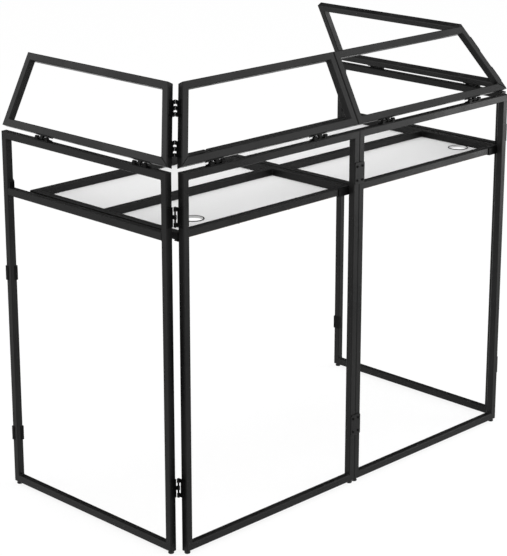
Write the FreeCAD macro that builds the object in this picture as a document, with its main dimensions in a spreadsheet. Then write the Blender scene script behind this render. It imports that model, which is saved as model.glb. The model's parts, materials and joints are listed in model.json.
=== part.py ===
import FreeCAD, Part
import os
import re
import Sketcher

# Folding booth of square steel tube: two front panels in line, two wings, four flaps, two lift-off shelves.
# Millimetres and degrees. +X runs along the front, the front faces -Y, +Z is up, and the feet stand on Z = 0.

SIZES = {
    # lower panels
    "panel_width": 640.0,
    "frame_height": 1000.0,
    "tube_size": 20.0,
    "tube_wall": 1.5,
    "tube_edge_share": 1.2,
    "corner_gap": 9.5,
    "foot_height": 8.0,
    "foot_radius": 7.0,
    # flaps that lean inwards over the top rails
    "flap_length": 204.0,
    "flap_lean": 27.5,
    "flap_gap": 15.0,
    "flap_centre_gap": 2.0,
    # hinges, all on one size of pin
    "hinge_length": 50.0,
    "hinge_inset": 5.0,
    "lug_length": 10.0,
    "eye_radius": 4.0,
    "leaf_thickness": 2.0,
    "leaf_margin": 1.0,
    "pin_radius": 2.5,
    "pin_play": 0.05,
    "pin_overhang": 1.2,
    "flap_hinge_near": 118.0,
    "flap_hinge_far": 490.0,
    "left_wing_hinge_near": 98.0,
    "left_wing_hinge_far": 475.0,
    "corner_hinge_low": 173.0,
    "corner_hinge_drop": 113.0,
    # mating catches on the slanted flap ends
    "catch_length": 42.0,
    "catch_lug": 9.0,
    "catch_depth": 6.0,
    "catch_plate": 2.0,
    "catch_play": 0.3,
    "catch_low_share": 0.22,
    "catch_high_share": 0.70,
    # plates that join the two front panels
    "plate_width": 36.0,
    "plate_height": 60.0,
    "plate_thickness": 2.5,
    "plate_corner": 3.0,
    "plate_low": 166.0,
    "plate_drop": 116.0,
    # shelves
    "shelf_drop": 153.0,
    "shelf_depth": 571.0,
    "shelf_setback": 3.0,
    "shelf_side_gap": 10.0,
    "shelf_centre_gap": 8.0,
    "board_thickness": 5.0,
    "board_lap": 7.0,
    # cable rings in the boards
    "cable_radius": 25.5,
    "ring_wall": 1.5,
    "ring_rise": 1.0,
    "ring_play": 0.1,
    "ring_setback": 94.0,
    "left_ring_inset": 141.0,
    "right_ring_inset": 29.5,
    # angle brackets under the shelf tubes
    "bracket_length": 44.0,
    "long_bracket_length": 52.0,
    "short_bracket_length": 28.0,
    "bracket_thickness": 2.5,
    "bracket_lap": 11.0,
    "wing_bracket_front": 110.0,
    "wing_bracket_rear": 520.0,
    # stops on the wings' rear posts, over the shelf rail
    "stop_height": 24.0,
    "stop_depth": 6.0,
    "stop_inset": 2.0,
    # spring clips on the rear posts
    "clip_height": 40.0,
    "clip_thickness": 1.5,
    "clip_lip": 8.0,
    "clip_low": 144.0,
    "clip_high": 608.0,
    # how far a cut runs past the piece
    "overrun": 2.0,
}

# Sizes that follow from the ones above.
DERIVED = {
    "tube_edge": "tube_wall * tube_edge_share",
    "corner_offset": "tube_size + corner_gap",
    "half_width": "panel_width + corner_offset",
    "booth_depth": "panel_width + corner_offset",
    "front_y": "(plate_thickness - booth_depth - clip_thickness) / 2",
    "rear_y": "front_y + booth_depth",
    "flap_axis": "frame_height + flap_gap / 2",
    "flap_inner": "tube_size - hinge_inset",
    "edge_run": "sin(flap_lean)",
    "edge_lean": "atan(edge_run)",
    "stile_length": "flap_length / cos(edge_lean)",
    "square_mitre": "tube_size",
    "sharp_mitre": "tube_size / tan((90 deg - edge_lean) / 2)",
    "blunt_mitre": "tube_size / tan((90 deg + edge_lean) / 2)",
    "bore_radius": "pin_radius + pin_play",
    "eye_flat": "eye_radius * tan(22.5 deg)",
    "corner_axis": "tube_size + corner_gap / 2",
    "corner_hinge_high": "frame_height - corner_hinge_drop",
    "plate_high": "frame_height - plate_drop",
    "shelf_top": "frame_height - shelf_drop",
    "shelf_width": "half_width - tube_size - shelf_side_gap - shelf_centre_gap / 2",
    "shelf_base": "foot_height + shelf_top - tube_size",
    "board_inset": "tube_size - board_lap",
    "ring_outer": "cable_radius + ring_wall",
}


def bind(text):
    """Spell out each named size in a formula as a reference to its cell."""

    def spell(match):
        word = match.group(0)
        if word in SIZES:
            return "Sizes." + word
        if word in DERIVED:
            return "(" + bind(DERIVED[word]) + ")"
        return word

    return re.sub(r"[a-z_]+", spell, text)


doc = FreeCAD.newDocument("booth")
sheet = doc.addObject("Spreadsheet::Sheet", "Sizes")
for row, (alias, value) in enumerate(SIZES.items(), start=1):
    sheet.set(f"A{row}", str(value))
    sheet.setAlias(f"A{row}", alias)
doc.recompute()

nodes = []


def value_of(text):
    """Present value of a formula."""
    return float(sheet.evalExpression(bind(text)))


def placing(x, y, z, axis="0; 0; 1", angle="0"):
    """Formula of a placement: a move to x, y, z after a turn about an axis."""
    return f"placement(vector({x}; {y}; {z}); rotation(vector({axis}); {angle}))"


def place(thing, formula):
    thing.setExpression("Placement", bind(formula))
    return thing


def node(thing, label):
    """Name a finished sub-part, which is then written out."""
    thing.Label = label
    nodes.append(thing)
    return thing


def group(label, pieces):
    """One sub-part made of several separate solids."""
    compound = doc.addObject("Part::Compound", label)
    compound.Links = pieces
    return node(compound, label)


def copy_of(source, formula):
    """Another copy of a piece, placed by a formula."""
    link = doc.addObject("App::Link", source.Name + "_copy")
    link.LinkedObject = source
    return place(link, formula)


def mirrored(source):
    """Mirror image of a piece, left for right."""
    mirror = doc.addObject("Part::Mirroring", source.Name + "_mirror")
    mirror.Source = source
    mirror.Normal = FreeCAD.Vector(1, 0, 0)
    return mirror


# Solid features


def wedge(name, length, inset, first, last):
    """Prism along X with slanted ends, kept clear of a tube's outside by an inset."""
    solid = doc.addObject("Part::Wedge", name)
    near = f"({inset}) / tube_size"
    far = f"(tube_size - ({inset})) / tube_size"
    extra = "overrun" if inset != "0" else "0"
    limits = {
        "Xmin": f"({first}) * {near} - {extra}",
        "Xmax": f"{length} - ({last}) * {near} + {extra}",
        "X2min": f"({first}) * {far} - {extra}",
        "X2max": f"{length} - ({last}) * {far} + {extra}",
        "Ymin": inset,
        "Ymax": f"tube_size - ({inset})",
        "Zmin": inset,
        "Zmax": f"tube_size - ({inset})",
        "Z2min": inset,
        "Z2max": f"tube_size - ({inset})",
    }
    for limit, formula in limits.items():
        solid.setExpression(limit, bind(formula))
    return solid


tube_edge = value_of("tube_edge")


def runs_along(edge):
    """Whether an edge lies along X."""
    way = edge.tangentAt(edge.FirstParameter)
    return abs(way.x) > abs(way.y) + abs(way.z)


def tube(name, length, formula, first="0", last="0"):
    """Hollow tube along X with broken edges. Its mitres take the inner edge short by first and last."""
    outside = wedge(name + "_outside", length, "0", first, last)
    inside = wedge(name + "_inside", length, "tube_wall", first, last)
    outside.recompute()
    edges = enumerate(outside.Shape.Edges, start=1)
    along = [index for index, edge in edges if runs_along(edge)]
    section = doc.addObject("Part::Chamfer", name + "_section")
    section.Base = outside
    section.Edges = [(index, tube_edge, tube_edge) for index in along]
    steel = doc.addObject("Part::Cut", name)
    steel.Base = section
    steel.Tool = inside
    return place(steel, formula)


def new_body(name):
    return doc.addObject("PartDesign::Body", name)


def new_sketch(body, role):
    """Sketch on one of the body's own origin planes."""
    sketch = body.newObject("Sketcher::SketchObject", body.Name + "_sketch")
    plane = next(item for item in body.Origin.OriginFeatures if item.Role == role)
    sketch.AttachmentSupport = (plane, [""])
    sketch.MapMode = "FlatFace"
    return sketch


def pin_point(sketch, index, position, x, y):
    """Hold one point of a sketch at x, y, each a formula."""
    for kind, axis, formula in (("DistanceX", -2, x), ("DistanceY", -1, y)):
        if formula == "0":
            sketch.addConstraint(Sketcher.Constraint("PointOnObject", index, position, axis))
        else:
            held = Sketcher.Constraint(kind, -1, 1, index, position, value_of(formula))
            sketch.setExpression(f"Constraints[{sketch.addConstraint(held)}]", bind(formula))


def outline(sketch, points):
    """Closed outline with straight sides through points given as formulas."""
    corners = [FreeCAD.Vector(value_of(x), value_of(y), 0) for x, y in points]
    base = sketch.GeometryCount
    count = len(points)
    for step in range(count):
        sketch.addGeometry(Part.LineSegment(corners[step], corners[(step + 1) % count]), False)
    for step in range(count):
        follower = base + (step + 1) % count
        sketch.addConstraint(Sketcher.Constraint("Coincident", base + step, 2, follower, 1))
        pin_point(sketch, base + step, 1, *points[step])
    return sketch


def rectangle(sketch, x0, x1, y0, y1):
    return outline(sketch, [(x0, y0), (x1, y0), (x1, y1), (x0, y1)])


def circle(sketch, x, y, radius):
    centre = FreeCAD.Vector(value_of(x), value_of(y), 0)
    ring = Part.Circle(centre, FreeCAD.Vector(0, 0, 1), value_of(radius))
    index = sketch.addGeometry(ring, False)
    pin_point(sketch, index, 3, x, y)
    held = sketch.addConstraint(Sketcher.Constraint("Radius", index, value_of(radius)))
    sketch.setExpression(f"Constraints[{held}]", bind(radius))
    return sketch


def pad(body, sketch, length, both_ways=True):
    """Pad a sketch, to both sides of its plane unless told otherwise."""
    feature = body.newObject("PartDesign::Pad", body.Name + "_pad")
    feature.Profile = sketch
    feature.SideType = "Symmetric" if both_ways else "One side"
    feature.setExpression("Length", bind(length))
    return feature


def pocket(body, sketch, length):
    """Cut a sketch out to both sides of its plane."""
    feature = body.newObject("PartDesign::Pocket", body.Name + "_pocket")
    feature.Profile = sketch
    feature.SideType = "Symmetric"
    feature.setExpression("Length", bind(length))
    return feature


def turned(name, points):
    """Round piece: a half section in X and Z turned about Z."""
    body = new_body(name)
    feature = body.newObject("PartDesign::Revolution", name + "_turn")
    feature.Profile = outline(new_sketch(body, "XZ_Plane"), points)
    feature.ReferenceAxis = (feature.Profile[0], ["V_Axis"])
    feature.Angle = 360
    return body


# Hinge pieces, drawn with the pin along X through the origin


def hinge_leaf(name, reach, plate_from, plate_to, web, eye_length, slot=None):
    """Plate with a lug round the pin. The plate's seat lies `reach` below the pin."""
    body = new_body(name)
    plate_top = f"leaf_thickness - {reach}"
    sketch = rectangle(new_sketch(body, "YZ_Plane"), plate_from, plate_to, f"-{reach}", plate_top)
    pad(body, sketch, "hinge_length")
    pad(body, outline(new_sketch(body, "YZ_Plane"), web + EYE), eye_length)
    pocket(body, circle(new_sketch(body, "YZ_Plane"), "0", "0", "bore_radius"), "hinge_length + overrun")
    if slot:
        pocket(body, rectangle(new_sketch(body, "YZ_Plane"), *slot), "hinge_length - 2 * lug_length")
    return body


EYE = [
    ("eye_radius", "eye_flat"),
    ("eye_flat", "eye_radius"),
    ("-eye_flat", "eye_radius"),
    ("-eye_radius", "eye_flat"),
]
eye_clear = "eye_radius + overrun"
flap_reach = "(flap_gap / 2)"
flap_plate = ("-hinge_inset + leaf_margin", "flap_inner - leaf_margin")
flap_slot = (f"-({eye_clear})", eye_clear, f"leaf_thickness - {flap_reach}", eye_clear)
flap_web = [("-eye_radius", f"-{flap_reach}"), ("eye_radius", f"-{flap_reach}")]
flap_base = hinge_leaf("flap_base", flap_reach, *flap_plate, flap_web, "hinge_length", flap_slot)
tongue_plate = ("leaf_margin - flap_inner", "hinge_inset - leaf_margin")
flap_tongue = hinge_leaf("flap_tongue", flap_reach, *tongue_plate, flap_web, "lug_length")

corner_reach = "(corner_gap / 2)"
corner_plate = (corner_reach, f"{corner_reach} + tube_size - leaf_margin")
corner_slot = (f"-({eye_clear})", corner_reach, f"-({eye_clear}) - {corner_reach}", eye_clear)
corner_web = [
    ("-eye_radius", f"-{corner_reach}"),
    (f"{corner_reach} + eye_radius", f"-{corner_reach}"),
    (f"{corner_reach} + eye_radius", f"leaf_thickness - {corner_reach}"),
    ("eye_radius", f"leaf_thickness - {corner_reach}"),
]
corner_fork = hinge_leaf("corner_fork", corner_reach, *corner_plate, corner_web, "hinge_length", corner_slot)
corner_tongue = hinge_leaf("corner_tongue", corner_reach, *corner_plate, corner_web, "lug_length")

pin_tip = "hinge_length / 2 + pin_overhang"
hinge_pin = turned("hinge_pin", [
    ("0", f"-({pin_tip})"),
    ("pin_radius", f"-({pin_tip})"),
    ("pin_radius", pin_tip),
    ("0", pin_tip),
])

# Small fittings drawn once

foot = turned("foot", [
    ("0", "0"),
    ("foot_radius", "0"),
    ("foot_radius", "foot_height"),
    ("0", "foot_height"),
])


def angle_bracket(name, length, ledge):
    """Angle along X: an upright leaf on Y = 0 and a ledge that carries a tube at Z = 0."""
    body = new_body(name)
    upright = "tube_size - bracket_thickness"
    points = [
        ("0", upright),
        ("0", "-bracket_thickness"),
        (ledge, "-bracket_thickness"),
        (ledge, "0"),
        ("bracket_thickness", "0"),
        ("bracket_thickness", upright),
    ]
    pad(body, outline(new_sketch(body, "YZ_Plane"), points), length)
    return body


front_ledge = "shelf_setback + bracket_lap"
long_bracket = angle_bracket("long_bracket", "long_bracket_length", front_ledge)
short_bracket = angle_bracket("short_bracket", "short_bracket_length", front_ledge)
wing_bracket = angle_bracket("wing_bracket", "bracket_length", "shelf_side_gap + bracket_lap")


def shelf_stop():
    """Block with a sloping top that stands on a rail at the origin, against a post on the side of -X."""
    body = new_body("shelf_stop")
    points = [
        ("0", "0"),
        ("stop_depth", "0"),
        ("stop_depth", "stop_height - stop_depth"),
        ("0", "stop_height"),
    ]
    pad(body, outline(new_sketch(body, "XZ_Plane"), points), "tube_size - 2 * stop_inset")
    return body


def rear_clip():
    """Sprung steel clip round the rear and inner sides of a post whose corner is the origin."""
    body = new_body("rear_clip")
    around = "tube_size + clip_thickness"
    points = [
        ("clip_lip", "-clip_thickness"),
        ("-clip_thickness", "-clip_thickness"),
        ("-clip_thickness", around),
        (around, around),
        (around, "tube_size - clip_lip"),
        ("tube_size", "tube_size - clip_lip"),
        ("tube_size", "tube_size"),
        ("0", "tube_size"),
        ("0", "0"),
        ("clip_lip", "0"),
    ]
    pad(body, outline(new_sketch(body, "XY_Plane"), points), "clip_height")
    return body


def flap_catch():
    """Plate on a flap's slanted end with lugs up to the corner's middle plane. Z runs along the end."""
    body = new_body("flap_catch")
    back = "flap_inner - catch_depth"
    plate = ("-catch_plate", "0", "leaf_margin - hinge_inset", "flap_inner")
    pad(body, rectangle(new_sketch(body, "XY_Plane"), *plate), "catch_length")
    room = "corner_offset - hinge_inset - flap_gap / 2 * edge_run - catch_play"
    tip = f"-({room} - flap_inner * cos(flap_lean)) * cos(edge_lean)"
    heel = f"-({room} - ({back}) * cos(flap_lean)) * cos(edge_lean)"
    lugs = [("0", back), ("0", "flap_inner"), (tip, "flap_inner"), (heel, back)]
    pad(body, outline(new_sketch(body, "XY_Plane"), lugs), "catch_length")
    slots = new_sketch(body, "XZ_Plane")
    inner = "catch_lug / 2"
    outer = "catch_length / 2 - catch_lug"
    rectangle(slots, f"-({room})", "-catch_plate", inner, outer)
    rectangle(slots, f"-({room})", "-catch_plate", f"-({outer})", f"-{inner}")
    pocket(body, slots, "2 * tube_size")
    return body


left_clip = rear_clip()
right_clip = mirrored(left_clip)
left_stop = shelf_stop()
right_stop = mirrored(left_stop)
catch_start = flap_catch()
catch_end = mirrored(catch_start)

# Panels: X runs along the panel, Y goes inwards from its outer face, Z goes up from its underside

PANELS = {
    "left_wing": {
        "place": placing("-half_width", "rear_y", "foot_height", angle="-90"),
        "posts": ("rear_post", "front_post"),
        "corner": "end",
        "flap": ("0", "panel_width"),
    },
    "front_left": {
        "place": placing("-panel_width", "front_y", "foot_height"),
        "posts": ("corner_post", "centre_post"),
        "corner": "start",
        "flap": ("0", "panel_width - flap_centre_gap / 2"),
    },
    "front_right": {
        "place": placing("0", "front_y", "foot_height"),
        "posts": ("centre_post", "corner_post"),
        "corner": "end",
        "flap": ("flap_centre_gap / 2", "panel_width"),
    },
    "right_wing": {
        "place": placing("half_width", "front_y + corner_offset", "foot_height", angle="90"),
        "posts": ("front_post", "rear_post"),
        "corner": "start",
        "flap": ("0", "panel_width"),
    },
}


def upright_tube(name, frame, x, y, z, angle, length, first="0", last="0"):
    """Tube of an upright frame, from x, z at an angle, with the frame's inside on its left."""
    turn = f"rotation(vector(1; 0; 0); 90) * rotation(vector(0; 0; 1); {angle})"
    return tube(name, length, f"{frame} * placement(vector({x}; {y}; {z}); {turn})", first, last)


def lower_frame(panel):
    """Mitred rectangle of four tubes, and on the wings a rail at shelf height."""
    frame = PANELS[panel]["place"]
    mitres = ("square_mitre", "square_mitre")
    low = upright_tube(panel + "_low_rail", frame, "0", "tube_size", "0", "0", "panel_width", *mitres)
    high = upright_tube(
        panel + "_high_rail", frame, "panel_width", "tube_size", "frame_height", "180", "panel_width", *mitres
    )
    rails = [low, high]
    if "wing" in panel:
        shelf_z = "shelf_top - tube_size"
        span = "panel_width - 2 * tube_size"
        rails.append(upright_tube(panel + "_shelf_rail", frame, "tube_size", "tube_size", shelf_z, "0", span))
    group(panel + "_rails", rails)
    starts = (("0", "frame_height", "270"), ("panel_width", "0", "90"))
    for post, (x, z, angle) in zip(PANELS[panel]["posts"], starts):
        label = f"{panel}_{post}"
        node(upright_tube(label, frame, x, "tube_size", z, angle, "frame_height", *mitres), label)


def flap_place(panel):
    """Formula of a flap's own frame: on the hinge pin, leaning inwards."""
    return f"{PANELS[panel]['place']} * {placing('0', 'hinge_inset', 'flap_axis', '1; 0; 0', '-flap_lean')}"


def flap_frame(panel):
    """Trapezium of four tubes whose slanted end follows the corner between two leaning flaps."""
    frame = flap_place(panel)
    near, far = PANELS[panel]["flap"]
    run = "flap_length * edge_run"
    tip = f"{far} - {run}"
    slant = "stile_length"
    if PANELS[panel]["corner"] == "start":
        edges = {
            "bottom": (near, "0", "0", far, "sharp_mitre", "square_mitre"),
            "end": (far, "0", "90", "flap_length", "square_mitre", "square_mitre"),
            "top": (far, "flap_length", "180", tip, "square_mitre", "blunt_mitre"),
            "corner": (run, "flap_length", "270 deg - edge_lean", slant, "blunt_mitre", "sharp_mitre"),
        }
    else:
        edges = {
            "bottom": (near, "0", "0", f"{far} - ({near})", "square_mitre", "sharp_mitre"),
            "corner": (far, "0", "90 deg + edge_lean", slant, "sharp_mitre", "blunt_mitre"),
            "top": (tip, "flap_length", "180", f"{tip} - ({near})", "blunt_mitre", "square_mitre"),
            "end": (near, "flap_length", "270", "flap_length", "square_mitre", "square_mitre"),
        }
    tubes = {}
    for edge, (x, up, angle, length, first, last) in edges.items():
        z = f"flap_gap / 2 + {up}"
        label = f"{panel}_flap_{edge}"
        tubes[edge] = upright_tube(label, frame, x, "flap_inner", z, angle, length, first, last)
    group(panel + "_flap_rails", [tubes["bottom"], tubes["top"]])
    group(panel + "_flap_stiles", [tubes["end"], tubes["corner"]])


def flap_hinges(panel):
    """Two hinges between a top rail and its flap."""
    low = f"{PANELS[panel]['place']} * "
    high = f"{flap_place(panel)} * "
    spots = ("flap_hinge_near", "flap_hinge_far")
    if panel == "left_wing":
        spots = ("panel_width - left_wing_hinge_near", "panel_width - left_wing_hinge_far")
    bases = [copy_of(flap_base, low + placing(x, "hinge_inset", "flap_axis")) for x in spots]
    tongues = [copy_of(flap_tongue, high + placing(x, "0", "0", "1; 0; 0", "180")) for x in spots]
    pins = [copy_of(hinge_pin, low + placing(x, "hinge_inset", "flap_axis", "0; 1; 0", "90")) for x in spots]
    group(panel + "_flap_hinge_bases", bases)
    group(panel + "_flap_hinge_tongues", tongues)
    group(panel + "_flap_hinge_pins", pins)


def flap_catches(panel):
    """Two catches on a flap's slanted end."""
    at_start = PANELS[panel]["corner"] == "start"
    source = catch_start if at_start else catch_end
    x = "0" if at_start else "panel_width"
    turn = "edge_lean" if at_start else "-edge_lean"
    along = f"{flap_place(panel)} * {placing(x, '0', 'flap_gap / 2', '0; 1; 0', turn)}"
    shares = ("catch_low_share", "catch_high_share")
    spots = [placing("0", "0", f"{share} * stile_length") for share in shares]
    group(panel + "_flap_catches", [copy_of(source, f"{along} * {spot}") for spot in spots])


for panel in PANELS:
    lower_frame(panel)
    flap_frame(panel)
    flap_hinges(panel)
    flap_catches(panel)

# Feet under both ends of each lower frame


def panel_feet(panels):
    spots = ("tube_size / 2", "panel_width - tube_size / 2")
    under = [placing(x, "tube_size / 2", "-foot_height") for x in spots]
    return [copy_of(foot, f"{PANELS[panel]['place']} * {spot}") for panel in panels for spot in under]


group("front_feet", panel_feet(["front_left", "front_right"]))
group("left_wing_feet", panel_feet(["left_wing"]))
group("right_wing_feet", panel_feet(["right_wing"]))

# Corner hinges: forks on the front panels, tongues on the wings, one upright pin through each


def corner_hinges(side, sign):
    """Hinges of one front corner. The sign is that of the corner's X."""
    pin_x = f"{sign} * (half_width - corner_axis)"
    pin_y = "front_y + corner_axis"
    levels = ("foot_height + corner_hinge_low", "foot_height + corner_hinge_high")

    def leaves(source, turn, stand):
        upright = f"rotation(vector(0; 0; 1); {turn}) * rotation(vector(0; 1; 0); {stand})"
        spots = [f"placement(vector({pin_x}; {pin_y}; {level}); {upright})" for level in levels]
        return [copy_of(source, spot) for spot in spots]

    group(side + "_corner_hinge_forks", leaves(corner_fork, 180, -90 * sign))
    group(side + "_corner_hinge_tongues", leaves(corner_tongue, -90 * sign, 90 * sign))
    group(side + "_corner_hinge_pins", [copy_of(hinge_pin, placing(pin_x, pin_y, level)) for level in levels])


corner_hinges("left", -1)
corner_hinges("right", 1)

# Plates over the seam between the two front panels


def joining_plate():
    body = new_body("joining_plate")
    half = "plate_width / 2"
    tall = "plate_height / 2"
    cut = "plate_corner"
    points = [
        (f"{cut} - {half}", f"-{tall}"),
        (f"{half} - {cut}", f"-{tall}"),
        (half, f"{cut} - {tall}"),
        (half, f"{tall} - {cut}"),
        (f"{half} - {cut}", tall),
        (f"{cut} - {half}", tall),
        (f"-{half}", f"{tall} - {cut}"),
        (f"-{half}", f"{cut} - {tall}"),
    ]
    pad(body, outline(new_sketch(body, "XZ_Plane"), points), "plate_thickness")
    return body


plate = joining_plate()
plate_y = "front_y - plate_thickness / 2"
plate_spots = [placing("0", plate_y, f"foot_height + {z}") for z in ("plate_low", "plate_high")]
group("centre_plates", [copy_of(plate, spot) for spot in plate_spots])

# Shelves: X and Y run from the shelf's front left corner, Z goes up from the underside of its tubes


def shelf(side, left_x, ring_x, post_left, post_right):
    frame = placing(left_x, "front_y + tube_size + shelf_setback", "shelf_base")
    mitres = ("square_mitre", "square_mitre")
    edges = {
        "front": ("0", "0", "0", "shelf_width"),
        "right": ("shelf_width", "0", "90", "shelf_depth"),
        "rear": ("shelf_width", "shelf_depth", "180", "shelf_width"),
        "left": ("0", "shelf_depth", "270", "shelf_depth"),
    }
    tubes = {}
    for edge, (x, y, angle, length) in edges.items():
        along = f"{frame} * {placing(x, y, '0', angle=angle)}"
        tubes[edge] = tube(f"{side}_shelf_{edge}", length, along, *mitres)
    middle = placing("tube_size", "(shelf_depth - tube_size) / 2", "0")
    tubes["middle"] = tube(f"{side}_shelf_middle", "shelf_width - 2 * tube_size", f"{frame} * {middle}")
    group(side + "_shelf_side_tubes", [tubes["left"], tubes["right"]])
    group(side + "_shelf_cross_tubes", [tubes["front"], tubes["middle"], tubes["rear"]])

    ring_y = "tube_size + ring_setback"
    board = new_body(side + "_shelf_board")
    sketch = new_sketch(board, "XY_Plane")
    rectangle(sketch, "board_inset", "shelf_width - board_inset", "board_inset", "shelf_depth - board_inset")
    circle(sketch, ring_x, ring_y, "ring_outer + ring_play")
    pad(board, sketch, "board_thickness", both_ways=False)
    node(place(board, f"{frame} * {placing('0', '0', '-board_thickness')}"), side + "_shelf_board")

    ring = turned(side + "_cable_ring", [
        ("cable_radius", "-board_thickness"),
        ("ring_outer", "-board_thickness"),
        ("ring_outer", "ring_rise"),
        ("cable_radius", "ring_rise"),
    ])
    node(place(ring, f"{frame} * {placing(ring_x, ring_y, '0')}"), side + "_cable_ring")

    spots = (
        (short_bracket, f"{post_left} + short_bracket_length / 2"),
        (long_bracket, f"{post_right} - long_bracket_length / 2"),
    )
    brackets = [copy_of(source, placing(x, "front_y + tube_size", "shelf_base")) for source, x in spots]
    group(side + "_shelf_brackets", brackets)


half_gap = "shelf_centre_gap / 2"
left_ring = "tube_size + left_ring_inset"
right_ring = "shelf_width - tube_size - right_ring_inset"
shelf("left", "-half_width + tube_size + shelf_side_gap", left_ring, "-panel_width", f"-{half_gap}")
shelf("right", half_gap, right_ring, half_gap, "panel_width")

# Wing fittings: brackets inside the shelf rail, a stop on top of it, clips on the rear post


def wing_fittings(panel, clip, stop, post_x, stop_x, from_front):
    frame = PANELS[panel]["place"]
    reaches = ("wing_bracket_front", "wing_bracket_rear")
    spots = [reach if from_front else f"panel_width - {reach}" for reach in reaches]
    level = "shelf_top - tube_size"
    brackets = [copy_of(wing_bracket, f"{frame} * {placing(x, 'tube_size', level)}") for x in spots]
    brackets.append(copy_of(stop, f"{frame} * {placing(stop_x, 'tube_size / 2', 'shelf_top')}"))
    group(panel + "_shelf_brackets", brackets)
    group(panel + "_rear_clips", [
        copy_of(clip, f"{frame} * {placing(post_x, '0', z)}") for z in ("clip_low", "clip_high")
    ])


wing_fittings("left_wing", left_clip, left_stop, "0", "tube_size", False)
wing_fittings("right_wing", right_clip, right_stop, "panel_width", "panel_width - tube_size", True)

# Build, test and write every sub-part

doc.recompute()
for thing in doc.Objects:
    if "Invalid" in thing.State or "Error" in thing.State:
        raise RuntimeError(f"{thing.Label} failed: {thing.State}")
for thing in nodes:
    if thing.Shape.isNull() or not thing.Shape.isValid():
        raise RuntimeError(f"{thing.Label} has no valid shape")

os.makedirs("parts", exist_ok=True)
for thing in nodes:
    thing.Shape.exportStep(f"parts/{thing.Label}.step")
print(len(nodes), "sub-parts written")
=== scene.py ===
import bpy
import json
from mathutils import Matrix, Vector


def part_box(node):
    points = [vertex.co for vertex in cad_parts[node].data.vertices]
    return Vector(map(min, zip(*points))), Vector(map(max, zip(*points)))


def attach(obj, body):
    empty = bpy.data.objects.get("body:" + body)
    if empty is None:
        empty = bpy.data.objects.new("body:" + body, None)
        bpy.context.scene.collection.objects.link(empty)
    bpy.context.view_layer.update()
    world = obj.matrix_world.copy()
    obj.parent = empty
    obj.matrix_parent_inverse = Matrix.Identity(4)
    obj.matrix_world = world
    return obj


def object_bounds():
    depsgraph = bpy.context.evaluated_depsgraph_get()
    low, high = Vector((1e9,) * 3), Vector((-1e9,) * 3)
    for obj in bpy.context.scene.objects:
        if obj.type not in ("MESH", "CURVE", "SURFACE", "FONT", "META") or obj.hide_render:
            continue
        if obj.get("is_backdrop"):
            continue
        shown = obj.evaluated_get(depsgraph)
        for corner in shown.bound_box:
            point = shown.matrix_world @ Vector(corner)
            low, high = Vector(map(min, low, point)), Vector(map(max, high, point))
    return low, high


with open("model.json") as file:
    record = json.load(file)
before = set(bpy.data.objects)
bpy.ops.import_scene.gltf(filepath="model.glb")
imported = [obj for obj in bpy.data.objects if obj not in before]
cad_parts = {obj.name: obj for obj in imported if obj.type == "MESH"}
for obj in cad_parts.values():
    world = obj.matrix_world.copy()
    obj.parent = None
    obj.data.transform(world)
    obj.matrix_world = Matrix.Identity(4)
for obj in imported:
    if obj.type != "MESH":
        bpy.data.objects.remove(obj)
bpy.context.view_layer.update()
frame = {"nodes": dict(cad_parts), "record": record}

import json
import math

import bpy
from mathutils import Matrix, Vector

# Folding booth of black square steel tube with pale shelf boards. Metres; the front faces -Y and +Z is up.

# Node trees

MIX_SHARE, MIX_FIRST, MIX_SECOND, MIX_RESULT = 0, 6, 7, 2    # a Mix node's sockets for colours


def node(tree, kind, inputs=(), **settings):
    """Add a node, set its properties and give its sockets values or links."""
    made = tree.nodes.new(kind)
    for name, value in settings.items():
        setattr(made, name, value)
    for name, value in dict(inputs).items():
        if isinstance(value, bpy.types.NodeSocket):
            tree.links.new(value, made.inputs[name])
        else:
            made.inputs[name].default_value = value
    return made


def math_node(tree, operation, first, second=0.0, clamp=False):
    """One step of arithmetic on two values."""
    return node(tree, "ShaderNodeMath", {0: first, 1: second}, operation=operation, use_clamp=clamp).outputs[0]


def ramp(tree, value, low, high, smooth=True):
    """Spread a value from 0 at low to 1 at high."""
    kind = "SMOOTHSTEP" if smooth else "LINEAR"
    inputs = {"Value": value, "From Min": low, "From Max": high}
    return node(tree, "ShaderNodeMapRange", inputs, interpolation_type=kind).outputs["Result"]


def noise(tree, where, scale, detail=3.0, roughness=0.55):
    """Soft random pattern from 0 to 1."""
    inputs = {"Vector": where, "Scale": scale, "Detail": detail, "Roughness": roughness}
    return node(tree, "ShaderNodeTexNoise", inputs).outputs["Fac"]


def mixed(tree, share, first, second):
    """Blend two colours."""
    inputs = {MIX_SHARE: share, MIX_FIRST: first, MIX_SECOND: second}
    return node(tree, "ShaderNodeMix", inputs, data_type="RGBA").outputs[MIX_RESULT]


def part_of(tree, value, share):
    """A value times a fixed share."""
    return math_node(tree, "MULTIPLY", value, share)


def grey(level, warm=0.0):
    """Grey of a level, a little warmer if asked."""
    return (level * (1 + warm), level, level * (1 - warm), 1.0)


# Effects that several finishes share


def new_group(name, inputs, outputs):
    """Empty node group with a Place input, number inputs and number outputs."""
    group = bpy.data.node_groups.new(name, "ShaderNodeTree")
    group.interface.new_socket("Place", in_out="INPUT", socket_type="NodeSocketVector")
    for label, value in inputs.items():
        socket = group.interface.new_socket(label, in_out="INPUT", socket_type="NodeSocketFloat")
        socket.default_value = value
    for label in outputs:
        group.interface.new_socket(label, in_out="OUTPUT", socket_type="NodeSocketFloat")
    entry = group.nodes.new("NodeGroupInput").outputs
    leave = group.nodes.new("NodeGroupOutput").inputs
    return group, entry, leave


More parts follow.
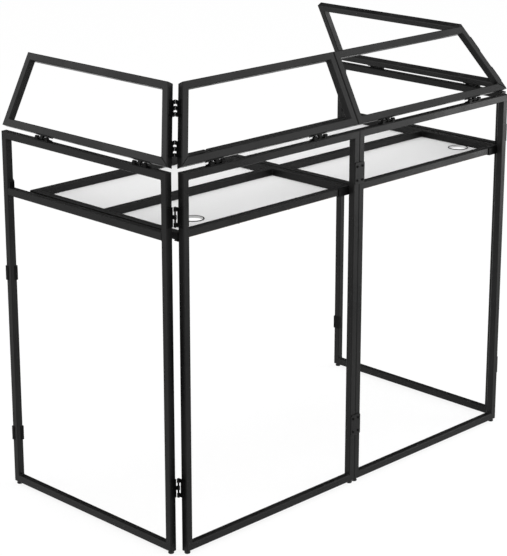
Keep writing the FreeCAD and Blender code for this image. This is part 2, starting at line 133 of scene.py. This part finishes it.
def coat_group():
    """Sprayed and baked coat: orange peel, fine pits and slow changes of tone."""
    group, entry, leave = new_group("coat_surface", {"Peel": 900.0, "Drift": 5.0}, ("Height", "Tone"))
    pit_fineness, pit_depth, speck_share = 3.1, -0.35, 0.30
    where = entry["Place"]
    peel = noise(group, where, entry["Peel"], detail=2.0)
    pits = noise(group, where, part_of(group, entry["Peel"], pit_fineness), detail=1.0)
    deep = part_of(group, ramp(group, pits, 0.62, 0.78), pit_depth)
    group.links.new(math_node(group, "ADD", peel, deep), leave["Height"])
    broad = ramp(group, noise(group, where, entry["Drift"], detail=4.0), 0.30, 0.70)
    specks = part_of(group, ramp(group, peel, 0.35, 0.75), speck_share)
    group.links.new(math_node(group, "ADD", broad, specks, clamp=True), leave["Tone"])
    return group


def wear_group():
    """Mask of corners that are rubbed, broken up along their length."""
    group, entry, leave = new_group("rubbed_edges", {"Width": 0.0015, "Patches": 14.0}, ("Mask",))
    scratch_scale = 420.0
    where = entry["Place"]
    rounded = node(group, "ShaderNodeBevel", {"Radius": entry["Width"]}, samples=6).outputs["Normal"]
    flat = node(group, "ShaderNodeNewGeometry").outputs["Normal"]
    facing = node(group, "ShaderNodeVectorMath", {0: rounded, 1: flat}, operation="DOT_PRODUCT").outputs["Value"]
    bent = math_node(group, "SUBTRACT", 1.0, facing, clamp=True)
    patches = ramp(group, noise(group, where, entry["Patches"], detail=5.0), 0.50, 0.72)
    fine = ramp(group, noise(group, where, scratch_scale, detail=2.0), 0.35, 0.70)
    broken = math_node(group, "MULTIPLY", patches, fine)
    mask = math_node(group, "MULTIPLY", ramp(group, bent, 0.02, 0.22), broken, clamp=True)
    group.links.new(mask, leave["Mask"])
    return group


def dust_group():
    """Mask of thin dust on faces that look up."""
    group, entry, leave = new_group("settled_dust", {"Clumps": 60.0}, ("Mask",))
    normal = node(group, "ShaderNodeNewGeometry").outputs["Normal"]
    upright = node(group, "ShaderNodeSeparateXYZ", {"Vector": normal}).outputs["Z"]
    clumps = noise(group, entry["Place"], entry["Clumps"], detail=5.0, roughness=0.65)
    facing_up = ramp(group, upright, 0.75, 0.98)
    mask = math_node(group, "MULTIPLY", facing_up, ramp(group, clumps, 0.45, 0.80))
    group.links.new(mask, leave["Mask"])
    return group


COAT = coat_group()
WEAR = wear_group()
DUST = dust_group()
DUST_COLOUR = grey(0.22, warm=0.03)
DUST_ROUGHNESS = 0.25
COAT_RELIEF = 0.0004


def use_group(tree, group, where, **inputs):
    """Place a shared effect in a material with its own values."""
    made = node(tree, "ShaderNodeGroup", node_tree=group)
    tree.links.new(where, made.inputs["Place"])
    for label, value in inputs.items():
        made.inputs[label].default_value = value
    return made.outputs


# Finishes


def new_material(name):
    """Material with its tree, its shader and the piece's own coordinates."""
    material = bpy.data.materials.new(name)
    material.use_nodes = True
    tree = material.node_tree
    where = node(tree, "ShaderNodeTexCoord").outputs["Object"]
    return material, tree, tree.nodes["Principled BSDF"], where


def coated(name, dark, light, worn, rough, shine, peel, bump, wear, wear_width, dust, metal=0.0):
    """Coat over steel, or plastic, with rubbed corners and a little dust."""
    material, tree, shader, where = new_material(name)
    coat = use_group(tree, COAT, where, Peel=peel)
    rubbed = use_group(tree, WEAR, where, Width=wear_width)["Mask"]
    dusty = use_group(tree, DUST, where)["Mask"]
    colour = mixed(tree, coat["Tone"], dark, light)
    colour = mixed(tree, part_of(tree, rubbed, wear), colour, worn)
    colour = mixed(tree, part_of(tree, dusty, dust), colour, DUST_COLOUR)
    tree.links.new(colour, shader.inputs["Base Color"])
    # dark tones are smoother, down to half the roughness
    roughness = part_of(tree, ramp(tree, coat["Tone"], -1.0, 1.0, smooth=False), rough)
    roughness = math_node(tree, "ADD", roughness, part_of(tree, dusty, DUST_ROUGHNESS), clamp=True)
    tree.links.new(roughness, shader.inputs["Roughness"])
    shader.inputs["Specular IOR Level"].default_value = shine
    if metal:
        tree.links.new(part_of(tree, rubbed, metal), shader.inputs["Metallic"])
    relief = node(tree, "ShaderNodeBump", {"Height": coat["Height"], "Strength": bump, "Distance": COAT_RELIEF})
    tree.links.new(relief.outputs["Normal"], shader.inputs["Normal"])
    return material


def board_material():
    """Pale laminate with fine speckle, faint clouds and long light scuffs, and a brown core at its edges."""
    material, tree, shader, where = new_material("pale_laminate")
    speckle = ramp(tree, noise(tree, where, 1400.0, detail=2.0), 0.30, 0.75)
    clouds = ramp(tree, noise(tree, where, 3.5, detail=4.0), 0.30, 0.72)
    stretch = {"Vector": where, "Rotation": (0.0, 0.0, 0.5), "Scale": (14.0, 190.0, 14.0)}
    stretched = node(tree, "ShaderNodeMapping", stretch).outputs["Vector"]
    scuffs = ramp(tree, noise(tree, stretched, 1.0, detail=4.0, roughness=0.6), 0.66, 0.80)
    colour = mixed(tree, speckle, grey(0.715), grey(0.775))
    colour = mixed(tree, part_of(tree, clouds, 0.35), colour, grey(0.74))
    colour = mixed(tree, part_of(tree, scuffs, 0.22), colour, grey(0.50))
    normal = node(tree, "ShaderNodeNewGeometry").outputs["Normal"]
    upright = node(tree, "ShaderNodeSeparateXYZ", {"Vector": normal}).outputs["Z"]
    flat = ramp(tree, math_node(tree, "ABSOLUTE", upright), 0.5, 0.9)
    grain = node(tree, "ShaderNodeMapping", {"Vector": where, "Scale": (300.0, 300.0, 2200.0)}).outputs["Vector"]
    dark_chips, light_chips = (0.20, 0.135, 0.075, 1), (0.33, 0.24, 0.15, 1)
    core = mixed(tree, noise(tree, grain, 1.0), dark_chips, light_chips)
    tree.links.new(mixed(tree, flat, core, colour), shader.inputs["Base Color"])
    roughness = math_node(tree, "ADD", 0.34, part_of(tree, scuffs, 0.2))
    roughness = math_node(tree, "ADD", roughness, part_of(tree, speckle, 0.06))
    tree.links.new(roughness, shader.inputs["Roughness"])
    relief = node(tree, "ShaderNodeBump", {"Height": speckle, "Strength": 0.10, "Distance": 0.0002})
    tree.links.new(relief.outputs["Normal"], shader.inputs["Normal"])
    return material


FINISHES = {
    "black_steel": coated(
        "satin_black_coat", dark=grey(0.0032), light=grey(0.0056), worn=grey(0.08, warm=0.02), rough=0.44, shine=0.14,
        peel=900.0, bump=0.25, wear=0.35, wear_width=0.0016, dust=0.03),
    "fittings": coated(
        "black_fittings", dark=grey(0.0020), light=grey(0.0034), worn=grey(0.20, warm=0.02), rough=0.42, shine=0.05,
        peel=1500.0, bump=0.20, wear=0.40, wear_width=0.0006, dust=0.03, metal=0.8),
    "black_plastic": coated(
        "matt_black_plastic", dark=grey(0.0060), light=grey(0.0100), worn=grey(0.05), rough=0.75, shine=0.25,
        peel=2200.0, bump=0.45, wear=0.30, wear_width=0.0007, dust=0.10),
    "board": board_material(),
}
PALE_SLEEVE = coated(
    "pale_sleeve_plastic", dark=grey(0.42), light=grey(0.52), worn=grey(0.30), rough=0.70, shine=0.30,
    peel=2200.0, bump=0.40, wear=0.20, wear_width=0.0007, dust=0.15)
for part in frame["record"]["subparts"]:
    sleeve = part["node"].endswith("_cable_ring")
    shape = frame["nodes"][part["node"]].data
    shape.materials.clear()
    shape.materials.append(PALE_SLEEVE if sleeve else FINISHES[part["material_slot"]])

# Small pieces, each modelled once at the origin and copied to its places

ROUND_SIDES = 24
BEAD_SIDES = 10
SMOOTH_ANGLE = math.radians(35)


def deselect():
    bpy.ops.object.select_all(action="DESELECT")


def choose(thing):
    """Make a piece the only one that operators act on."""
    deselect()
    thing.select_set(True)
    bpy.context.view_layer.objects.active = thing


def settled():
    """The primitive just added, with its place and size moved into its mesh."""
    bpy.ops.object.transform_apply(location=True, rotation=True, scale=True)
    return bpy.context.object


def pick_faces(thing, test):
    """Enter edit mode with only the faces that pass a test selected."""
    choose(thing)
    bpy.ops.object.mode_set(mode="EDIT")
    bpy.ops.mesh.select_mode(type="FACE")
    bpy.ops.mesh.select_all(action="DESELECT")
    leave_edit()
    for face in thing.data.polygons:
        face.select = test(face)
    bpy.ops.object.mode_set(mode="EDIT")


def looks_up(face):
    return face.normal.z > 0.9


def leave_edit():
    bpy.ops.object.mode_set(mode="OBJECT")


def cut_out(thing, tool):
    """Cut a tool's shape out of a piece and remove the tool."""
    modifier = thing.modifiers.new("Boolean", "BOOLEAN")
    modifier.object = tool
    modifier.operation = "DIFFERENCE"
    modifier.solver = "EXACT"
    choose(thing)
    bpy.ops.object.modifier_apply(modifier=modifier.name)
    bpy.data.objects.remove(tool)


def pan_screw(radius, height):
    """Pan head with a rounded rim and a cross recess, seated on Z = 0."""
    crown = ((0.22, 0.22), (0.25, 0.08))    # inset in radii and lift in heights, step by step
    blade_size = (radius * 1.15, radius * 0.26, height * 1.1)
    blade_middle = height * 1.2
    deselect()
    bpy.ops.mesh.primitive_cylinder_add(vertices=ROUND_SIDES, radius=radius, depth=height, location=(0, 0, height / 2))
    head = settled()
    pick_faces(head, looks_up)
    for inset, lift in crown:
        bpy.ops.mesh.inset(thickness=radius * inset)
        bpy.ops.transform.translate(value=(0, 0, height * lift))
    leave_edit()
    for turn in (0.0, math.pi / 2):
        deselect()
        bpy.ops.mesh.primitive_cube_add(size=1, location=(0, 0, blade_middle), rotation=(0, 0, turn))
        bpy.context.object.scale = blade_size
        cut_out(head, settled())
    return head


def rivet(radius, height):
    """Low domed rivet head, seated on Z = 0."""
    rim = height * 0.3
    dome = ((0.12, 0.28), (0.22, 0.25), (0.26, 0.14))    # inset in radii and lift in heights, step by step
    deselect()
    bpy.ops.mesh.primitive_cylinder_add(vertices=ROUND_SIDES, radius=radius, depth=rim, location=(0, 0, rim / 2))
    head = settled()
    pick_faces(head, looks_up)
    for inset, lift in dome:
        bpy.ops.mesh.inset(thickness=radius * inset)
        bpy.ops.transform.translate(value=(0, 0, height * lift))
    leave_edit()
    return head


def weld_bead(length, radius, ripples):
    """Rippled bead along X through the origin, drawn out of a disc step by step."""
    tip, swell, ripple, fade = radius * 0.55, 1.6, 1.14, 0.6
    deselect()
    bpy.ops.mesh.primitive_circle_add(vertices=BEAD_SIDES, radius=tip, fill_type="NGON", rotation=(0, math.pi / 2, 0))
    bpy.context.object.location.x = -length / 2
    bead = settled()
    pick_faces(bead, lambda face: True)
    step = length / (2 * ripples)
    growth = [swell] + [ripple if turn % 2 else 1 / ripple for turn in range(2 * ripples - 2)] + [fade]
    reach = -length / 2
    for factor in growth:
        reach += step
        bpy.ops.mesh.extrude_region_move(TRANSFORM_OT_translate={"value": (step, 0, 0)})
        bpy.ops.transform.resize(value=(1, factor, factor), center_override=(reach, 0, 0))
    bpy.ops.mesh.select_all(action="SELECT")
    bpy.ops.mesh.normals_make_consistent(inside=False)
    leave_edit()
    return bead


def drawn_out(profile, count, filled):
    """Round piece about Z through pairs of radius and height.

    It starts from a filled disc, or from a loop that the last pair closes onto.
    """
    deselect()
    radius, height = profile[0]
    fill = "NGON" if filled else "NOTHING"
    bpy.ops.mesh.primitive_circle_add(vertices=count, radius=radius, fill_type=fill, location=(0, 0, height))
    piece = settled()
    choose(piece)
    bpy.ops.object.mode_set(mode="EDIT")
    bpy.ops.mesh.select_mode(type="FACE" if filled else "EDGE")
    bpy.ops.mesh.select_all(action="SELECT")
    loops = profile[1:] if filled else profile[1:] + profile[:1]
    for next_radius, next_height in loops:
        bpy.ops.mesh.extrude_region_move(TRANSFORM_OT_translate={"value": (0, 0, next_height - height)})
        grow = next_radius / radius
        bpy.ops.transform.resize(value=(grow, grow, 1), center_override=(0, 0, next_height))
        radius, height = next_radius, next_height
    bpy.ops.mesh.select_all(action="SELECT")
    bpy.ops.mesh.remove_doubles(threshold=1e-6)
    bpy.ops.mesh.normals_make_consistent(inside=False)
    leave_edit()
    return piece


def seat(place, out, along=None):
    """Matrix that stands a small piece at a place, its Z pointing out and its X along a direction."""
    up = Vector(out).normalized()
    side = Vector(along or (up.y, up.z, up.x)).normalized()
    side = (side - up * side.dot(up)).normalized()
    turn = Matrix((side, up.cross(side), up)).transposed().to_4x4()
    return Matrix.Translation(Vector(place)) @ turn


def spread(source, name, body, slot, seats):
    """Copies of a small piece at several seats, as one piece that rides on a body."""
    copies = []
    for matrix in seats:
        twin = bpy.data.objects.new(name, source.data.copy())
        twin.data.transform(matrix)
        bpy.context.scene.collection.objects.link(twin)
        copies.append(twin)
    choose(copies[0])
    for twin in copies:
        twin.select_set(True)
    if len(copies) > 1:
        bpy.ops.object.join()
    whole = bpy.context.view_layer.objects.active
    whole.name = name
    whole.data.name = name
    whole.data.materials.clear()
    whole.data.materials.append(FINISHES[slot])
    bpy.ops.object.shade_smooth_by_angle(angle=SMOOTH_ANGLE)
    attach(whole, body)


SCREW = pan_screw(radius=0.0024, height=0.0012)
BOLT = pan_screw(radius=0.0034, height=0.0016)
RIVET = rivet(radius=0.0026, height=0.0014)
PEEN = rivet(radius=0.0027, height=0.0015)
BEAD = weld_bead(length=0.017, radius=0.0021, ripples=6)
RIM = drawn_out([(0.0256, 0.0002), (0.0256, 0.0014), (0.0263, 0.0019), (0.0277, 0.0019), (0.0287, 0.0014),
                 (0.0291, 0.0006), (0.0291, 0.0001)], count=64, filled=False)
GLIDE = drawn_out([(0.0058, 0.0), (0.0072, 0.0005), (0.0079, 0.0015), (0.0080, 0.0028), (0.0076, 0.0036),
                   (0.0068, 0.0038)], count=32, filled=True)

# Where the panels and flaps stand: X along each panel, Y inwards, Z up from the underside of its frame

TUBE = 0.020
WIDTH = 0.640
HEIGHT = 1.000
LEAN = math.radians(27.5)
PIN = Vector((0, 0.005, 1.0075))
TURNS = {"left_wing": -90, "front_left": 0, "front_right": 0, "right_wing": 90}
PANELS = {}
FLAPS = {}
CARRIERS = {}
for panel, turn in TURNS.items():
    low, high = (Vector(corner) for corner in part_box(panel + "_rails"))
    corner = Vector((high.x if turn > 0 else low.x, high.y if turn < 0 else low.y, low.z))
    PANELS[panel] = Matrix.Translation(corner) @ Matrix.Rotation(math.radians(turn), 4, "Z")
    FLAPS[panel] = PANELS[panel] @ Matrix.Translation(PIN) @ Matrix.Rotation(-LEAN, 4, "X")
    CARRIERS[panel] = panel if turn else "front_frame"


def stand(frame_matrix, place, out, along=None):
    """Seat given in a panel's or flap's own directions."""
    turn = frame_matrix.to_3x3()
    return seat(frame_matrix @ Vector(place), turn @ Vector(out), turn @ Vector(along) if along else None)


def corner_weld(frame_matrix, x, y, z):
    """Seat of a bead across the tubes in an inside corner of a panel or flap."""
    return stand(frame_matrix, (x, y, z), (1, 0, 0), (0, 1, 0))


def along_panel(panel, node_name, margin):
    """Middles of the two hinges on a panel, from the outer ends of their node."""
    inverse = PANELS[panel].inverted()
    ends = sorted((inverse @ Vector(corner)).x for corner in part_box(node_name))
    return ends[0] + margin, ends[1] - margin


seats = {}


def add(body, kind, *places):
    seats.setdefault((body, kind), []).extend(places)


# Panels: screws and pin heads on the flap hinges, welds in the inside corners

HALF_HINGE = 0.025
BASE_SCREW = Vector((0.019, 0.0145, 1.002))       # from the hinge's middle, in the panel's directions
TONGUE_SCREW = Vector((0.011, 0.0085, 0.0055))    # from the hinge's middle, in the flap's directions
for panel, frame_matrix in PANELS.items():
    body = CARRIERS[panel]
    flap = FLAPS[panel]
    flap_body = panel + "_flap"
    for x in along_panel(panel, panel + "_flap_hinge_bases", HALF_HINGE):
        for side in (-1, 1):
            base = (x + side * BASE_SCREW.x, BASE_SCREW.y, BASE_SCREW.z)
            tongue = (x + side * TONGUE_SCREW.x, TONGUE_SCREW.y, TONGUE_SCREW.z)
            pin_end = (x + side * HALF_HINGE, PIN.y, PIN.z)
            add(body, "screws", stand(frame_matrix, base, (0, 0, 1), (1, side, 0)))
            add(flap_body, "screws", stand(flap, tongue, (0, 0, -1), (1, side, 0)))
            add(body, "pin_heads", stand(frame_matrix, pin_end, (side, 0, 0)))
    for x in (TUBE, WIDTH - TUBE):
        for z in (TUBE, HEIGHT - TUBE):
            add(body, "welds", corner_weld(frame_matrix, x, TUBE / 2, z))

# Wings: shelf rail welds, bracket bolts, clip rivets

SHELF_TOP = HEIGHT - 0.153
BRACKETS_FROM_FRONT = (0.110, 0.520)
BRACKET_PLATE = 0.0025
BRACKET_BOLT_SIDE = 0.013
BRACKET_BOLT_DROP = 0.011
CLIP_HEIGHTS = (0.144, 0.608)
CLIP_PLATE = 0.0015
CLIP_RIVET_STEP = 0.011
for panel, rear in (("left_wing", 0.0), ("right_wing", WIDTH)):
    frame_matrix = PANELS[panel]
    front = WIDTH - rear
    front_ward = 1 if rear == 0 else -1
    for x in (TUBE, WIDTH - TUBE):
        add(panel, "welds", corner_weld(frame_matrix, x, TUBE / 2, SHELF_TOP - TUBE))
    add(panel, "welds", corner_weld(frame_matrix, front - front_ward * TUBE, TUBE / 2, SHELF_TOP))
    for reach in BRACKETS_FROM_FRONT:
        for side in (-1, 1):
            x = front - front_ward * reach + side * BRACKET_BOLT_SIDE
            place = (x, TUBE + BRACKET_PLATE, SHELF_TOP - BRACKET_BOLT_DROP)
            add(panel, "bolts", stand(frame_matrix, place, (0, 1, 0), (1, 0, side)))
    for z in CLIP_HEIGHTS:
        for side in (-1, 1):
            place = (rear - front_ward * CLIP_PLATE, TUBE / 2, z + side * CLIP_RIVET_STEP)
            add(panel, "rivets", stand(frame_matrix, place, (-front_ward, 0, 0)))

# Flaps: welds in the inside corners, two of them at the slanted stile

FLAP_FOOT = 0.0075
FLAP_RISE = 0.204
FRONT_SEAM = 0.001
SLANT = math.sin(LEAN)
SHARP = TUBE / math.tan((math.pi / 2 - math.atan(SLANT)) / 2)
BLUNT = TUBE / math.tan((math.pi / 2 + math.atan(SLANT)) / 2)
for panel, flap in FLAPS.items():
    slanted_at_start = panel in ("front_left", "right_wing")
    square_end = WIDTH - (FRONT_SEAM if panel.startswith("front") else 0.0) - TUBE
    corners = [(SHARP, TUBE), (FLAP_RISE * SLANT + BLUNT, FLAP_RISE - TUBE)]
    corners += [(square_end, TUBE), (square_end, FLAP_RISE - TUBE)]
    for x, z in corners:
        x = x if slanted_at_start else WIDTH - x
        add(panel + "_flap", "welds", corner_weld(flap, x, TUBE / 2 - PIN.y, FLAP_FOOT + z))

# Corner hinges and the plates between the front panels

PIN_OVERHANG = 0.0012
LEAF = 0.00275
LEAF_SCREW_OUT = 0.0165
LEAF_SCREW_STEP = 0.016
for side, sign in (("left", -1), ("right", 1)):
    low, high = (Vector(corner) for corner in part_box(side + "_corner_hinge_pins"))
    pin = (low + high) / 2
    for z in (low.z + HALF_HINGE + PIN_OVERHANG, high.z - HALF_HINGE - PIN_OVERHANG):
        for step in (-1, 1):
            screw_z = z + step * LEAF_SCREW_STEP
            fork = (pin.x - sign * LEAF, pin.y - LEAF_SCREW_OUT, screw_z)
            tongue = (pin.x + sign * LEAF_SCREW_OUT, pin.y + LEAF, screw_z)
            add("front_frame", "pin_heads", seat((pin.x, pin.y, z + step * HALF_HINGE), (0, 0, step)))
            add("front_frame", "screws", seat(fork, (sign, 0, 0), (0, step, 1)))
            add(side + "_wing", "screws", seat(tongue, (0, -1, 0), (step, 0, 1)))

HALF_PLATE = 0.030
PLATE_BOLT_OUT = 0.010
PLATE_BOLT_STEP = 0.019
RECESS_TURN = 0.6
low, high = (Vector(corner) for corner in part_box("centre_plates"))
for z in (low.z + HALF_PLATE, high.z - HALF_PLATE):
    for side in (-1, 1):
        for lift in (-PLATE_BOLT_STEP, PLATE_BOLT_STEP):
            place = (side * PLATE_BOLT_OUT, low.y, z + lift)
            add("front_frame", "bolts", seat(place, (0, -1, 0), (1, 0, side * RECESS_TURN)))

# Shelves: welds, and screws under the boards

BOARD_SCREW_SHARES = (0.04, 0.35, 0.65, 0.96)
BOARD_SCREW_IN = 0.0035
for side in ("left", "right"):
    body = side + "_shelf"
    low, high = (Vector(corner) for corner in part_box(body + "_side_tubes"))
    half_way = (low.y + high.y) / 2
    for x in (low.x + TUBE, high.x - TUBE):
        for y in (low.y + TUBE, half_way - TUBE / 2, half_way + TUBE / 2, high.y - TUBE):
            add(body, "welds", seat((x, y, low.z + TUBE / 2), (1, 0, 0), (0, 0, 1)))
    low, high = (Vector(corner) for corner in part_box(body + "_board"))
    for share in BOARD_SCREW_SHARES:
        x = low.x + share * (high.x - low.x)
        for y in (low.y + BOARD_SCREW_IN, high.y - BOARD_SCREW_IN):
            add(body, "board_screws", seat((x, y, low.z), (0, 0, -1), (1, share, 0)))

KINDS = {
    "screws": (SCREW, "fittings"),
    "bolts": (BOLT, "fittings"),
    "board_screws": (SCREW, "fittings"),
    "rivets": (RIVET, "fittings"),
    "pin_heads": (PEEN, "fittings"),
    "welds": (BEAD, "black_steel"),
}
for (body, kind), places in seats.items():
    source, slot = KINDS[kind]
    spread(source, f"{body}_{kind}", body, slot, places)

# Rims of the cable rings and glides under the feet

for side in ("left", "right"):
    low, high = (Vector(corner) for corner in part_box(side + "_cable_ring"))
    board_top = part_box(side + "_shelf_board")[1][2]
    place = ((low.x + high.x) / 2, (low.y + high.y) / 2, board_top)
    spread(RIM, side + "_cable_rim", side + "_shelf", "black_plastic", [seat(place, (0, 0, 1))])

for body in ("front_frame", "left_wing", "right_wing"):
    places = []
    for panel in (name for name, carrier in CARRIERS.items() if carrier == body):
        for x in (TUBE / 2, WIDTH - TUBE / 2):
            spot = PANELS[panel] @ Vector((x, TUBE / 2, 0))
            places.append(seat((spot.x, spot.y, 0), (0, 0, 1)))
    spread(GLIDE, body + "_foot_glides", body, "black_plastic", places)

for source in (SCREW, BOLT, RIVET, PEEN, BEAD, RIM, GLIDE):
    bpy.data.objects.remove(source)

# Camera at the photograph's angle

EYE = Vector((-3.5835, -3.4897, 2.1257))
AZIMUTH = math.radians(-45.259)
ELEVATION = math.radians(16.524)


def aimed(name, data, place, way):
    """A camera or lamp at a place that looks along a direction."""
    thing = bpy.data.objects.new(name, data)
    bpy.context.scene.collection.objects.link(thing)
    thing.location = place
    thing.rotation_mode = "QUATERNION"
    thing.rotation_quaternion = way.to_track_quat("-Z", "Y")
    return thing


lens_data = bpy.data.cameras.new("view")
lens_data.lens = 119.95
lens_data.sensor_width = 36.0
lens_data.shift_y = -0.0719
lens_data.clip_end = 100.0
level_reach = math.cos(ELEVATION)
back = Vector((math.sin(AZIMUTH) * level_reach, -math.cos(AZIMUTH) * level_reach, math.sin(ELEVATION)))
bpy.context.scene.camera = aimed("view", lens_data, EYE, -back)

# Pale floor, which shows white with a faint shadow and lights the booth as a pale floor does

FLOOR_SIZE = 60
FLOOR_GREY = grey(0.94)
FLOOR_GLOW = 0.86
WHITE = grey(1.0)

deselect()
bpy.ops.mesh.primitive_plane_add(size=FLOOR_SIZE)
floor = bpy.context.object
floor.name = "floor"
floor_finish = bpy.data.materials.new("pale_floor")
floor_finish.use_nodes = True
floor_tree = floor_finish.node_tree
floor_tree.nodes.remove(floor_tree.nodes["Principled BSDF"])
lit = node(floor_tree, "ShaderNodeBsdfDiffuse", {"Color": FLOOR_GREY})
glow = node(floor_tree, "ShaderNodeEmission", {"Color": WHITE, "Strength": 1.0})
path = node(floor_tree, "ShaderNodeLightPath").outputs
seen = math_node(floor_tree, "MAXIMUM", path["Is Camera Ray"], path["Is Glossy Ray"])
seen = math_node(floor_tree, "MAXIMUM", seen, path["Is Transmission Ray"])
share = part_of(floor_tree, seen, FLOOR_GLOW)
both = node(floor_tree, "ShaderNodeMixShader", {0: share, 1: lit.outputs[0], 2: glow.outputs[0]})
floor_tree.links.new(both.outputs[0], floor_tree.nodes["Material Output"].inputs["Surface"])
floor.data.materials.append(floor_finish)
floor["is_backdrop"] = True

# Studio with pale walls at the horizon, a soft ceiling and soft sides, dim at the far end

CEILING = 1.25
SIDES = 1.20
HORIZON = 0.80
DIM = 0.06
FAR_END = (0.72, 0.69, 0.0)
# height or depth where each ramp starts and ends
WALL_TOP = (0.11, 0.04)
CEILING_EDGE = (0.42, 0.75)
CEILING_END = (0.45, 0.05)
SIDES_END = (0.62, 0.25)
HORIZON_TOP = (0.36, 0.14)

world = bpy.data.worlds.new("studio")
world.use_nodes = True
bpy.context.scene.world = world
sky = world.node_tree
way = node(sky, "ShaderNodeTexCoord").outputs["Generated"]
height = node(sky, "ShaderNodeSeparateXYZ", {"Vector": way}).outputs["Z"]
depth = node(sky, "ShaderNodeVectorMath", {0: way, 1: FAR_END}, operation="DOT_PRODUCT").outputs["Value"]
walls = ramp(sky, height, *WALL_TOP)
ceiling = part_of(sky, ramp(sky, height, *CEILING_EDGE), CEILING)
ceiling = math_node(sky, "MULTIPLY", ceiling, ramp(sky, depth, *CEILING_END))
sides = part_of(sky, ramp(sky, depth, *SIDES_END), SIDES)
lower = part_of(sky, ramp(sky, height, *HORIZON_TOP), HORIZON)
sides = math_node(sky, "MULTIPLY", sides, math_node(sky, "ADD", lower, 1.0))
level = math_node(sky, "MAXIMUM", walls, ceiling)
level = math_node(sky, "MAXIMUM", level, math_node(sky, "MAXIMUM", sides, DIM))
ground = sky.nodes["Background"]
ground.inputs["Color"].default_value = WHITE
sky.links.new(level, ground.inputs["Strength"])

# Soft lamps: place, what they look at, size and power

LAMPS = {
    "left_lamp": ((-3.65, 3.4, 3.2), (-0.4, 0, 0.9), 3.2, 38),
    "front_lamp": ((3.5, -3.3, 3.1), (0, -0.3, 0.9), 3.2, 38),
    "top_lamp": ((0.1, -0.2, 4.5), (0.1, 0, 0.7), 2.6, 60),
    "low_lamp": ((2.3, -1.5, 0.75), (0.66, 0, 0.6), 1.3, 18),
}
for name, (place, target, size, power) in LAMPS.items():
    lamp = bpy.data.lights.new(name, "AREA")
    lamp.shape = "DISK"
    lamp.size = size
    lamp.energy = power
    aimed(name, lamp, place, Vector(target) - Vector(place))

bpy.context.scene.view_settings.view_transform = "Standard"

low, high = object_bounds()
